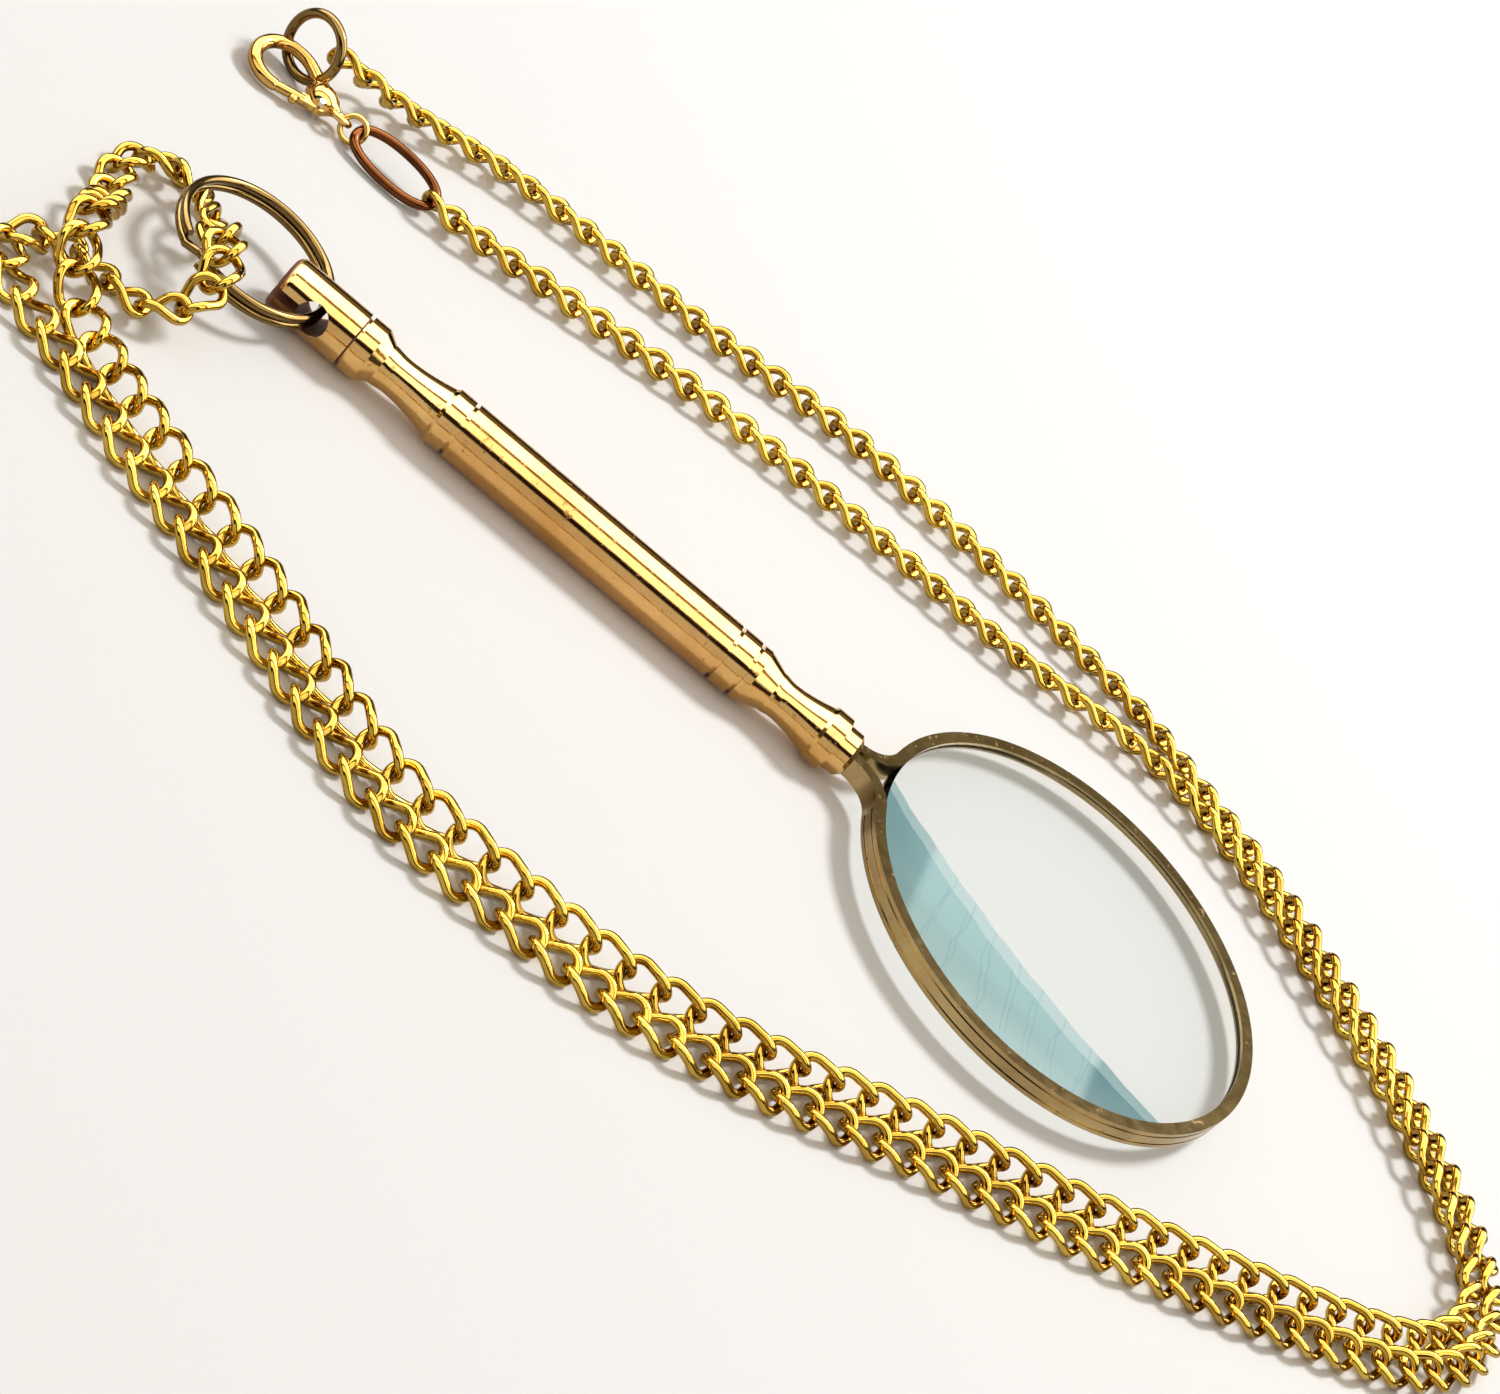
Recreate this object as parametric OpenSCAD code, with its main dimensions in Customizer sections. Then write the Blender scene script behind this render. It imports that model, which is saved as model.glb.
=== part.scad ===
// A round magnifying monocle on a turned handle, with a split ring and a long curb chain.
// The handle lies along X, the lens is at +X, and the whole object rests on the plane z = 0.

/* [Rim and lens] */
// Outside radius of the rim
rim_r = 19; // [17:0.5:21]
// Thickness of the rim band, measured outwards from the lens
rim_band_t = 1.05; // [0.9:0.05:1.3]
// Height of the rim band
rim_h = 1.8; // [1.5:0.1:2.2]
// Depth of the groove that grips the lens
lens_groove_depth = 0.4; // [0.3:0.05:0.5]
// Depth of the fine line turned around the rim
rim_line_depth = 0.12; // [0.08:0.01:0.16]
// Width of the fine line turned around the rim
rim_line_w = 0.16; // [0.12:0.02:0.2]
// Distance from the fine line to the nearer face of the rim
rim_line_in = 0.35; // [0.3:0.05:0.45]
// Thickness of the lens at its middle
lens_mid_t = 3.0; // [2.4:0.1:3.4]
// Thickness of the lens where it enters the rim
lens_edge_t = 1.0; // [0.8:0.1:1.2]
// Distance from the front of the collar to the outside circle of the rim
neck_len = 2.6; // [2.2:0.1:3.2]
// Width over both arms of the rim's neck
neck_w = 2.6; // [2.5:0.1:2.8]
// Radius of the curve where the neck opens into the rim
neck_fillet_r = 3; // [2.5:0.1:3.5]

/* [Handle] */
// Radius of the barrel, which also lifts the handle's axis off the table
barrel_r = 2.5; // [2.3:0.05:2.7]
// Length of the plain barrel
barrel_len = 26.5; // [22:0.5:32]
// Wall of the barrel tube
barrel_wall = 0.4; // [0.3:0.05:0.5]
// Length of the short band in front of the barrel
band_len = 2.0; // [1.5:0.1:3]
// Length of the rear baluster
rear_baluster_len = 10.3; // [9.5:0.1:12]
// Length of the front baluster
front_baluster_len = 9.3; // [8.6:0.1:11]
// Radius of the waist of both balusters
waist_r = 1.65; // [1.6:0.05:1.9]
// Length of the collar that holds the rim's neck
collar_len = 1.6; // [1.4:0.1:2.4]
// Radius of the collar
collar_r = 2.0; // [1.9:0.05:2.2]
// Depth of the fine grooves between the turned pieces
groove_depth = 0.35; // [0.2:0.05:0.45]
// Width of each piece's share of a groove
groove_w = 0.16; // [0.1:0.02:0.2]
// Radius of the spigots that join the turned pieces
spigot_r = 1.1; // [0.9:0.05:1.2]
// Length of the spigots
spigot_len = 3.0; // [2:0.1:3.5]

/* [End cap and split ring] */
// Radius of the end cap
cap_r = 2.45; // [2.3:0.05:2.6]
// Length of the end cap behind the middle of its cross hole
cap_back = 3.6; // [3.2:0.1:4.2]
// Length of the end cap in front of the middle of its cross hole
cap_front = 3.5; // [3.4:0.1:4.5]
// Diameter of the cross hole
hole_d = 2.8; // [2.8:0.05:3.1]
// Tilt of the cross hole, up towards the near side
hole_tilt = 8; // [5:1:9]
// Width of the saw slot from the hole to the rear end
slot_w = 0.8; // [0.5:0.05:1]
// Length of the spigot that seats in the end cap
cap_spigot_len = 1.4; // [1:0.1:1.5]
// Radius of the rounding at the rear end
dome_r = 0.8; // [0.5:0.1:1]
// Middle radius of the split ring
ring_r = 6.6; // [6.3:0.1:7]
// Wire diameter of the split ring
ring_wire = 0.72; // [0.6:0.02:0.74]
// Distance between the two turns of the split ring
ring_pitch = 0.76; // [0.76:0.01:0.8]
// Tilt of the split ring where it rests on the chain
ring_tilt = 3.5; // [3:0.5:5]

/* [Chain] */
// Wire diameter of the chain
chain_wire = 0.54; // [0.46:0.02:0.56]
// Distance from one link to the next
chain_pitch = 3.0; // [2.95:0.01:3.05]
// Half length of a link, on its wire's middle line
link_half_l = 1.85; // [1.8:0.01:1.9]
// Half width of a link, on its wire's middle line
link_half_w = 1.3; // [1.25:0.01:1.35]
// Distance between the middle lines of the two strands where the chain lies double
strand_gap = 2.6; // [2.5:0.05:2.8]

/* [Clasp] */
// Middle radius of the clasp's hook
hook_r = 2.4; // [2.2:0.05:2.6]
// Wire diameter of the clasp's hook
hook_wire = 1.1; // [0.9:0.05:1.2]
// Radius of the clasp's round body
body_r = 1.35; // [1.2:0.05:1.4]
// Distance from the hook's centre to the middle of the clasp's body
body_out = 4.6; // [4.4:0.1:5]
// Middle radius of the eye at the end of the clasp
eye_r = 0.85; // [0.8:0.05:0.9]
// Wire diameter of the eye
eye_wire = 0.6; // [0.5:0.05:0.6]
// Middle radius of the small ring between the eye and the oval link
eye_ring_r = 1.1; // [1.1:0.05:1.3]
// Wire diameter of that small ring
eye_ring_wire = 0.5; // [0.4:0.05:0.5]
// Half length of the oval link, on its wire's middle line
oval_half_l = 4.15; // [3.4:0.1:4.2]
// Half width of the oval link, on its wire's middle line
oval_half_w = 1.5; // [1.4:0.1:1.8]
// Wire diameter of the oval link
oval_wire = 0.8; // [0.6:0.05:0.8]
// Middle radius of the ring at the chain's other end
end_ring_r = 2.7; // [2.6:0.05:2.9]
// Wire diameter of the ring at the chain's other end
end_ring_wire = 0.8; // [0.6:0.05:0.8]

/* [Hidden] */
// Clearance between pieces that are pressed or soldered together
fit_gap = 0.02;
// Clearance between pieces that hang on each other
hang_gap = 0.04;
// Slack around the lens in its groove
lens_gap = 0.03;

// Stations along the handle, measured forwards from the middle of the cross hole
barrel_x = cap_front + rear_baluster_len;
band_x = barrel_x + barrel_len;
front_baluster_x = band_x + band_len;
collar_x = front_baluster_x + front_baluster_len;
neck_x = collar_x + collar_len;
rim_x = neck_x + neck_len + rim_r;

// The split ring hangs a little inside its own middle radius, so it lies centred in the hole
ring_out = ring_r - 0.2;
ring_rear = (ring_out + ring_r) * cos(ring_tilt) + ring_pitch / 2 * sin(ring_tilt) + ring_wire / 2;

// The origin lies on the table, half way between the ring's rear and the rim's far end
mid_x = (rim_x + rim_r - ring_rear) / 2;

// Inside of the rim, the neck's pocket and the core
rim_in_r = rim_r - rim_band_t;
lens_r = rim_in_r + lens_groove_depth - lens_gap;
lens_rim_t = lens_edge_t / 2;
pocket_w = neck_w + 2 * fit_gap;
pocket_h = rim_h + 2 * fit_gap;
pocket_depth = 2;
core_r = barrel_r - barrel_wall - fit_gap;
baluster_r = barrel_r - 0.05;
shoulder_r = waist_r + 0.15;
lip_r = barrel_r - 0.3;

// Route of the chain, in plan and with its height above where it lies flat on the table.
// Both halves start inside the split ring, at ring_mid.
chain_lift = link_half_w * sin(45) + chain_wire / 2 + 0.03;
ring_mid = [-9.7, -1.6, 1.5];
arm_over_ring = [[-8.3, -4.9, 3.5], [-6.9, -8.3, 3.4], [-6.9, -11.2, 1.6], [-9.2, -13.2, 0.2],
    [-12.3, -13.5, 0], [-15.4, -13.1, 0], [-18.3, -13.9, 0], [-19.7, -16.5, 0], [-18.9, -19.4, 0],
    [-16.6, -21.3, 0]];
arm_under_ring = [[-10.3, 1, 0.3], [-11.6, 3, 0], [-14.3, 4.1, 0], [-17.1, 3, 0], [-18.2, 0.2, 0],
    [-17.7, -2.8, 0], [-17, -5.6, 0.4], [-16.8, -8.5, 1.6], [-16.8, -11.4, 3], [-16.4, -14.3, 3.1],
    [-15, -16.8, 1.6], [-12.8, -18.9, 0.2]];
// Middle line between the two strands, where the chain lies double
double_run = [[-15.6, -18.6], [-9.6, -22.6], [-2.4, -26.4], [5.2, -29.6], [13.2, -33.4],
    [20.3, -37.2], [26.6, -39.4], [35.2, -40], [46, -39.6], [56.7, -37], [69.1, -32], [86.6, -25.6],
    [104.7, -17.8], [115.6, -11.6], [120.2, -3.6], [118.6, 4.6], [110.4, 14.4], [100.6, 22.1],
    [92, 28.2], [84, 32]];
// Share of the gap between the strands by which both lie off that line
double_shift = 0.2;
single_to_clasp = [[76, 32.4, 0], [68, 31.6, 0], [61.3, 31, 0], [44.4, 31.1, 0], [28.3, 30.3, 0],
    [14, 27.8, 0], [8, 26.4, 0], [3, 25.5, 0.1], [-0.1, 25.6, 0.2]];
single_to_ring = [[76.5, 37, 0], [68.5, 38.8, 0], [58.7, 40.4, 0], [41.1, 41.7, 0], [25, 39.4, 0],
    [12, 38.6, 0], [4, 37.4, 0], [-2, 35.3, 0.1], [-6.4, 33.1, 0.5], [-9.8, 31.3, 1.4],
    [-12.6, 30.25, 1.9]];
// Links of each half that give way when the split ring swings
arm_links = 11;

function lifted(points) = [for (p = points) [p[0], p[1], p[2] + chain_lift]];
function side_step(points, i, step) =
    let (a = points[max(i - 1, 0)], b = points[min(i + 1, len(points) - 1)], t = (b - a) / norm(b - a))
    [points[i][0] - step * t[1], points[i][1] + step * t[0], 0];
function strand(step) = [for (i = [1:len(double_run) - 1]) side_step(double_run, i, step)];

// A smooth curve through the points of a route
function smooth(p, q, r, s, t) =
    0.5 * (2 * q + (r - p) * t + (2 * p - 5 * q + 4 * r - s) * t * t + (3 * q - p - 3 * r + s) * t * t * t);
steps = 12;
function curve(points) = let (n = len(points)) [
    for (i = [0:n - 2], k = [0:steps - 1])
        smooth(i > 0 ? points[i - 1] : 2 * points[0] - points[1], points[i], points[i + 1],
            i < n - 2 ? points[i + 2] : 2 * points[n - 1] - points[n - 2], k / steps),
    points[n - 1]];

// Where the links hinge on each other: points one pitch apart along the curve
function meet(p, a, b) =
    let (u = a - p, v = b - a, qa = v * v, qb = 2 * u * v, qc = u * u - chain_pitch * chain_pitch)
    a + (sqrt(max(qb * qb - 4 * qa * qc, 0)) - qb) / (2 * qa) * v;
function hinges(c, i, found) =
    i + 1 >= len(c) ? found :
    norm(c[i + 1] - found[len(found) - 1]) < chain_pitch ? hinges(c, i + 1, found) :
    hinges(c, i, concat(found, [meet(found[len(found) - 1], c[i], c[i + 1])]));
function half_chain(points) = let (c = curve(points)) hinges(c, 0, [c[0]]);

clasp_half = half_chain(concat(lifted(concat([ring_mid], arm_under_ring)),
    lifted(strand(strand_gap / 2 - double_shift)), lifted(single_to_clasp)));
ring_half = half_chain(concat(lifted(concat([ring_mid], arm_over_ring)),
    lifted(strand(-strand_gap / 2 - double_shift)), lifted(single_to_ring)));

// The pieces at the chain's ends hang on its last links, each turned against the one before.
// Angles ending in az are headings in plan.
link_reach = link_half_l - chain_pitch / 2;
clasp_end = clasp_half[len(clasp_half) - 1];
clasp_az = 176;
oval_roll = 25;
oval_in = (oval_wire + chain_wire) / 2 + hang_gap - link_reach;
oval_mid = oval_half_l - oval_in;
eye_ring_at_oval = eye_ring_r - (eye_ring_wire + oval_wire) / 2 - hang_gap;
eye_ring_at_eye = eye_ring_r - (eye_ring_wire + eye_wire) / 2 - hang_gap;
eye_ring_mid = oval_mid + oval_half_l + eye_ring_at_oval;
eye_out = body_out + body_r + 0.35;
hook_mid = eye_ring_mid + eye_ring_at_eye + eye_r + eye_out;
clasp_tilt = 14;

// The gate of the clasp runs along the hook's own direction where the hook ends
gate_angle = 290;
gate_gap = 0.1;
gate_r = 0.45;
gate_turn = gate_angle - 270;
gate_start = [hook_r * cos(gate_angle) - gate_gap * sin(gate_angle),
    hook_r * sin(gate_angle) + gate_gap * cos(gate_angle)];
gate_bar_len = 2.5;
gate_tongue_len = 1.3;
gate_pivot = [gate_start[0] + (gate_bar_len + gate_tongue_len) * cos(gate_turn),
    gate_start[1] + (gate_bar_len + gate_tongue_len) * sin(gate_turn)];
tongue_t = 0.7;
tongue_h = 0.8;
pin_r = 0.28;
pivot_gap = 0.05;
slot_play = 0.05;
slot_top = 0.45;
slot_end = 0.5;
spring_t = 0.12;

end_point = ring_half[len(ring_half) - 1];
end_last = end_point - ring_half[len(ring_half) - 2];
end_az = atan2(end_last[1], end_last[0]);
end_ring_gap = 0.14;
end_ring_in = (end_ring_wire + chain_wire) / 2 + end_ring_gap - link_reach;
end_ring_az = 222;

module in_frame() {
    translate([-mid_x, 0, 0]) children();
}

// Places a turned piece, drawn along Z, on the handle's axis
module on_axis(x) {
    in_frame() translate([x, 0, barrel_r]) rotate([0, 90, 0]) children();
}

// A turned piece between two fine grooves, with the given profile of [radius, length] points
module turned(length, start_r, end_r, middle) {
    rotate_extrude($fn = 96)
        polygon(concat(
            [[0, 0], [start_r - groove_depth, 0], [start_r - groove_depth, groove_w], [start_r, groove_w]],
            middle,
            [[end_r, length - groove_w], [end_r - groove_depth, length - groove_w],
                [end_r - groove_depth, length], [0, length]]));
}

// The hollow side of a baluster: a short shoulder, a waist and a flare up to the lip
function hollow(from, to) = [
    for (i = [0:16])
        let (t = i / 16)
        [t < 0.25 ? waist_r + (shoulder_r - waist_r) * (1 + cos(180 * t / 0.25)) / 2
            : lip_r - (lip_r - waist_r) * cos(90 * (t - 0.25) / 0.75) ,
            from + (to - from) * t]];

module rear_baluster() {
    head = 1.65;
    chamfer = 1.05;
    tail = 1.7;
    color("goldenrod") on_axis(cap_front) {
        difference() {
            turned(rear_baluster_len, cap_r, baluster_r, concat(
                [[cap_r, head]],
                hollow(head + chamfer, rear_baluster_len - tail - 0.3),
                [[baluster_r, rear_baluster_len - tail]]));
            translate([0, 0, rear_baluster_len - spigot_len - 0.2])
                cylinder(h = spigot_len + 1, r = spigot_r + fit_gap, $fn = 48);
        }
        translate([0, 0, -cap_spigot_len]) cylinder(h = cap_spigot_len + 0.2, r = spigot_r, $fn = 48);
    }
}

module front_baluster() {
    head = 0.9;
    chamfer = 1.8;
    tail = 1.6;
    color("goldenrod") difference() {
        on_axis(front_baluster_x) difference() {
            turned(front_baluster_len, baluster_r, baluster_r, concat(
                [[baluster_r, head]],
                hollow(head + chamfer, front_baluster_len - tail - 0.3),
                [[baluster_r, front_baluster_len - tail]]));
            translate([0, 0, -1]) cylinder(h = spigot_len + 1.2, r = spigot_r + fit_gap, $fn = 48);
        }
        neck_pocket();
    }
}

// The flat pocket in the collar and the front baluster that takes the rim's neck
module neck_pocket() {
    in_frame() translate([collar_x - pocket_depth, -pocket_w / 2, barrel_r - pocket_h / 2])
        cube([pocket_depth + collar_len + 1, pocket_w, pocket_h]);
}

module collar() {
    chamfer = 0.4;
    color("goldenrod") difference() {
        on_axis(collar_x) rotate_extrude($fn = 96)
            polygon([[0, 0], [collar_r, 0], [collar_r, collar_len - chamfer],
                [collar_r - chamfer, collar_len], [0, collar_len]]);
        neck_pocket();
    }
}

module sleeve(x, length) {
    on_axis(x) rotate_extrude($fn = 96)
        polygon([[core_r + fit_gap, 0], [barrel_r - groove_depth, 0], [barrel_r - groove_depth, groove_w],
            [barrel_r, groove_w], [barrel_r, length - groove_w], [barrel_r - groove_depth, length - groove_w],
            [barrel_r - groove_depth, length], [core_r + fit_gap, length]]);
}

module barrel_tube() {
    color("goldenrod") sleeve(barrel_x, barrel_len);
}

module barrel_band() {
    color("gold") sleeve(band_x, band_len);
}

module core_rod() {
    color("peru") on_axis(barrel_x) {
        cylinder(h = barrel_len + band_len, r = core_r, $fn = 96);
        translate([0, 0, -spigot_len]) cylinder(h = barrel_len + band_len + 2 * spigot_len, r = spigot_r, $fn = 48);
    }
}

module end_cap() {
    arc = [for (a = [0:15:90]) [cap_r - dome_r + dome_r * sin(a), dome_r - dome_r * cos(a)]];
    length = cap_back + cap_front;
    color("goldenrod") difference() {
        on_axis(-cap_back) difference() {
            rotate_extrude($fn = 96)
                polygon(concat([[0, 0]], arc, [[cap_r, length - groove_w],
                    [cap_r - groove_depth, length - groove_w], [cap_r - groove_depth, length], [0, length]]));
            translate([0, 0, length - cap_spigot_len - 0.15])
                cylinder(h = cap_spigot_len + 1, r = spigot_r + fit_gap, $fn = 48);
        }
        in_frame() translate([0, 0, barrel_r]) rotate([-hole_tilt, 0, 0]) {
            rotate([90, 0, 0]) cylinder(h = 4 * cap_r, d = hole_d, center = true, $fn = 64);
            translate([-cap_back - 1, -2 * cap_r, -slot_w / 2]) cube([cap_back + 1, 4 * cap_r, slot_w]);
        }
    }
}

// Outline of the rim and its neck, seen from above, drawn inwards by a given distance
module rim_outline(inward) {
    arm = neck_w / 2;
    fillet_x = sqrt(pow(rim_r + neck_fillet_r, 2) - pow(arm + neck_fillet_r, 2));
    circle(r = rim_r - inward, $fn = 240);
    translate([-rim_r - neck_len - collar_len - pocket_depth + fit_gap, inward - arm])
        square([rim_r + neck_len, 2 * (arm - inward)]);
    for (side = [-1, 1]) difference() {
        polygon([[-fillet_x, 0], [-fillet_x, side * (arm + neck_fillet_r)], [0, 0]]);
        translate([-fillet_x, side * (arm + neck_fillet_r)]) circle(r = neck_fillet_r + inward, $fn = 64);
    }
}

module rim_band() {
    line_from_middle = rim_h / 2 - rim_line_in - rim_line_w;
    color("darkkhaki") in_frame() translate([rim_x, 0, barrel_r]) difference() {
        translate([0, 0, -rim_h / 2]) linear_extrude(rim_h) difference() {
            rim_outline(0);
            rim_outline(rim_band_t);
            translate([-rim_x, -neck_w / 2 + rim_band_t])
                square([rim_x - rim_r, neck_w - 2 * rim_band_t]);
        }
        rotate_extrude($fn = 240)
            polygon([[rim_in_r - 0.2, -lens_edge_t / 2 - lens_gap], [rim_in_r, -lens_edge_t / 2 - lens_gap],
                [lens_r + lens_gap, -lens_rim_t / 2 - lens_gap], [lens_r + lens_gap, lens_rim_t / 2 + lens_gap],
                [rim_in_r, lens_edge_t / 2 + lens_gap], [rim_in_r - 0.2, lens_edge_t / 2 + lens_gap]]);
        for (side = [-1, 1]) difference() {
            rotate_extrude($fn = 240)
                translate([rim_r - rim_line_depth, side > 0 ? line_from_middle : -line_from_middle - rim_line_w])
                    square([1, rim_line_w]);
            translate([-rim_r - 2, -neck_w / 2 - neck_fillet_r, -rim_h])
                cube([rim_r, neck_w + 2 * neck_fillet_r, 2 * rim_h]);
        }
    }
}

module lens() {
    bulge = (lens_mid_t - lens_edge_t) / 2;
    upper = [for (i = [0:12]) let (t = i / 12) [rim_in_r * t, lens_edge_t / 2 + bulge * (1 - t * t)]];
    lower = [for (i = [12:-1:0]) let (t = i / 12) [rim_in_r * t, -lens_edge_t / 2 - bulge * (1 - t * t)]];
    color("lightcyan", 0.5) in_frame() translate([rim_x, 0, barrel_r]) rotate_extrude($fn = 240)
        polygon(concat(upper, [[lens_r, lens_rim_t / 2], [lens_r, -lens_rim_t / 2]], lower));
}

// A slip of brass soldered between the two arms of the neck
module neck_wedge() {
    gap = neck_w - 2 * rim_band_t;
    color("peru") in_frame()
        translate([collar_x - pocket_depth + fit_gap, -gap / 2 + fit_gap, barrel_r - rim_h / 2])
            cube([pocket_depth + collar_len - fit_gap, gap - 2 * fit_gap, rim_h]);
}

// Wire wound twice around, with one short step from the lower turn up to the upper one
module split_ring() {
    split_at = 238;
    half_step = 7;
    past_step = 3;
    turn = 360 - 2 * half_step - past_step;
    low = [ring_r * cos(split_at - half_step), ring_r * sin(split_at - half_step), -ring_pitch / 2];
    high = [ring_r * cos(split_at + half_step), ring_r * sin(split_at + half_step), ring_pitch / 2];
    run = high - low;
    color("darkgoldenrod") in_frame() translate([0, 0, barrel_r]) rotate([0, ring_tilt, 0])
        translate([-ring_out, 0, 0]) {
            translate([0, 0, -ring_pitch / 2]) rotate([0, 0, split_at - half_step - turn])
                rotate_extrude(angle = turn, $fn = 96) translate([ring_r, 0]) circle(d = ring_wire, $fn = 32);
            translate([0, 0, ring_pitch / 2]) rotate([0, 0, split_at + half_step])
                rotate_extrude(angle = turn, $fn = 96) translate([ring_r, 0]) circle(d = ring_wire, $fn = 32);
            for (p = [low, high]) translate(p) sphere(d = ring_wire * 1.04, $fn = 32);
            translate(low) rotate([0, acos(run[2] / norm(run)), atan2(run[1], run[0])])
                cylinder(h = norm(run), d = ring_wire, $fn = 32);
        }
}

// One oval link of round wire, its length along X
module oval(half_l, half_w, wire) {
    for (turn = [0, 180]) rotate([0, 0, turn]) {
        translate([half_l - half_w, 0, 0]) rotate([0, 0, -90])
            rotate_extrude(angle = 180, $fn = 48) translate([half_w, 0]) circle(d = wire, $fn = 24);
        translate([half_w - half_l, half_w, 0]) rotate([0, 90, 0])
            cylinder(h = 2 * (half_l - half_w), d = wire, $fn = 24);
    }
}

// Links from one hinge point to the next, each turned against its neighbours
module links(points, first, last) {
    for (i = [first:last]) {
        run = points[i + 1] - points[i];
        in_frame() translate((points[i] + points[i + 1]) / 2)
            rotate([0, -asin(run[2] / norm(run)), atan2(run[1], run[0])])
                rotate([i % 2 == 0 ? 45 : -45, 0, 0])
                    oval(link_half_l, link_half_w, chain_wire);
    }
}

module chain_at_ring() {
    color("gold") {
        links(clasp_half, 0, arm_links - 1);
        links(ring_half, 0, arm_links - 1);
    }
}

module chain_to_clasp() {
    color("gold") links(clasp_half, arm_links, len(clasp_half) - 2);
}

module chain_to_end_ring() {
    color("gold") links(ring_half, arm_links, len(ring_half) - 2);
}

// The pieces beyond the chain's last link, drawn with X pointing away from the chain
module beyond_clasp_half(x) {
    in_frame() translate(clasp_end) rotate([0, 0, clasp_az]) translate([x, 0, 0]) children();
}

module oval_link() {
    color("saddlebrown") beyond_clasp_half(oval_mid) rotate([oval_roll, 0, 0])
        oval(oval_half_l, oval_half_w, oval_wire);
}

module clasp_eye_ring() {
    color("gold") beyond_clasp_half(eye_ring_mid) rotate([oval_roll + 90, 0, 0])
        rotate_extrude($fn = 64) translate([eye_ring_r, 0]) circle(d = eye_ring_wire, $fn = 24);
}

// The clasp's own frame: its hook's centre, with X towards the eye
module in_clasp() {
    beyond_clasp_half(hook_mid) rotate([0, 0, 180]) rotate([clasp_tilt, 0, 0]) children();
}

module gate_slot() {
    translate([body_out - body_r - 0.3, -body_r - 0.3, -tongue_t / 2 - slot_play])
        cube([body_r + 0.3 + slot_end, body_r + 0.3 + slot_top, tongue_t + 2 * slot_play]);
}

module clasp_body() {
    straight = 1.4;
    edge = 0.55;
    start = [straight, hook_r];
    shoulder = [body_out, slot_top + hook_wire / 2] - start;
    color("gold") in_clasp() {
        rotate([0, 0, 90]) rotate_extrude(angle = gate_angle - 90, $fn = 96)
            translate([hook_r, 0]) circle(d = hook_wire, $fn = 32);
        translate([0, hook_r, 0]) rotate([0, 90, 0]) cylinder(h = straight, d = hook_wire, $fn = 32);
        for (x = [0, straight]) translate([x, hook_r, 0]) rotate([90, 0, 0])
            sphere(d = hook_wire * 1.04, $fn = 32);
        translate([straight, hook_r, 0]) rotate([0, 90, atan2(shoulder[1], shoulder[0])])
            cylinder(h = norm(shoulder), d = hook_wire, $fn = 32);
        difference() {
            translate([body_out - body_r, 0, 0]) rotate([0, 90, 0]) rotate_extrude($fn = 64)
                polygon([[0, 0], [body_r - edge, 0], [body_r, edge], [body_r, 2 * body_r - edge],
                    [body_r - edge, 2 * body_r], [0, 2 * body_r]]);
            gate_slot();
            translate([gate_pivot[0], gate_pivot[1], -body_r - 1])
                cylinder(h = 2 * body_r + 2, r = pin_r + fit_gap, $fn = 32);
        }
        translate([eye_out, 0, 0]) rotate([-oval_roll - clasp_tilt, 0, 0])
            rotate_extrude($fn = 64) translate([eye_r, 0]) circle(d = eye_wire, $fn = 24);
    }
}

module clasp_lever() {
    root_r = 0.55;
    nub_r = 0.42;
    color("orange") in_clasp() difference() {
        union() {
            translate([gate_start[0], gate_start[1], 0]) rotate([0, 0, gate_turn]) {
                rotate([0, 90, 0]) cylinder(h = gate_bar_len, r = gate_r, $fn = 32);
                translate([gate_bar_len - 0.4, -tongue_h / 2, -tongue_t / 2])
                    cube([gate_tongue_len + 0.4, tongue_h, tongue_t]);
                translate([gate_bar_len - 0.9, -gate_r, 0]) sphere(r = nub_r, $fn = 32);
            }
            translate([gate_pivot[0], gate_pivot[1], -tongue_t / 2])
                cylinder(h = tongue_t, r = root_r, $fn = 48);
        }
        translate([gate_pivot[0], gate_pivot[1], -1]) cylinder(h = 2, r = pin_r + pivot_gap, $fn = 32);
    }
}

module clasp_pin() {
    half = sqrt(pow(body_r, 2) - pow(gate_pivot[1], 2));
    color("gray") in_clasp() translate([gate_pivot[0], gate_pivot[1], -half])
        cylinder(h = 2 * half, r = pin_r, $fn = 32);
}

// A leaf of spring steel against the far wall of the slot
module clasp_spring() {
    width = tongue_t - 0.1;
    color("gray") in_clasp() translate([body_out - 0.9, slot_top - spring_t, -width / 2])
        cube([1.3, spring_t, width]);
}

module end_ring() {
    toward = [cos(end_az), sin(end_az), 0];
    color("darkgoldenrod") in_frame() translate(end_point - end_ring_in * toward)
        rotate([0, 0, end_ring_az]) translate([end_ring_r, 0, 0]) rotate([90, 0, 0])
            rotate_extrude($fn = 96) translate([end_ring_r, 0]) circle(d = end_ring_wire, $fn = 32);
}

rim_band();
lens();
neck_wedge();
collar();
front_baluster();
barrel_band();
barrel_tube();
core_rod();
rear_baluster();
end_cap();
split_ring();
chain_at_ring();
chain_to_clasp();
chain_to_end_ring();
end_ring();
oval_link();
clasp_eye_ring();
clasp_body();
clasp_lever();
clasp_pin();
clasp_spring();
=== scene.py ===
import math

import bmesh
import bpy
import numpy as np
from mathutils import Matrix, Vector


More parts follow.
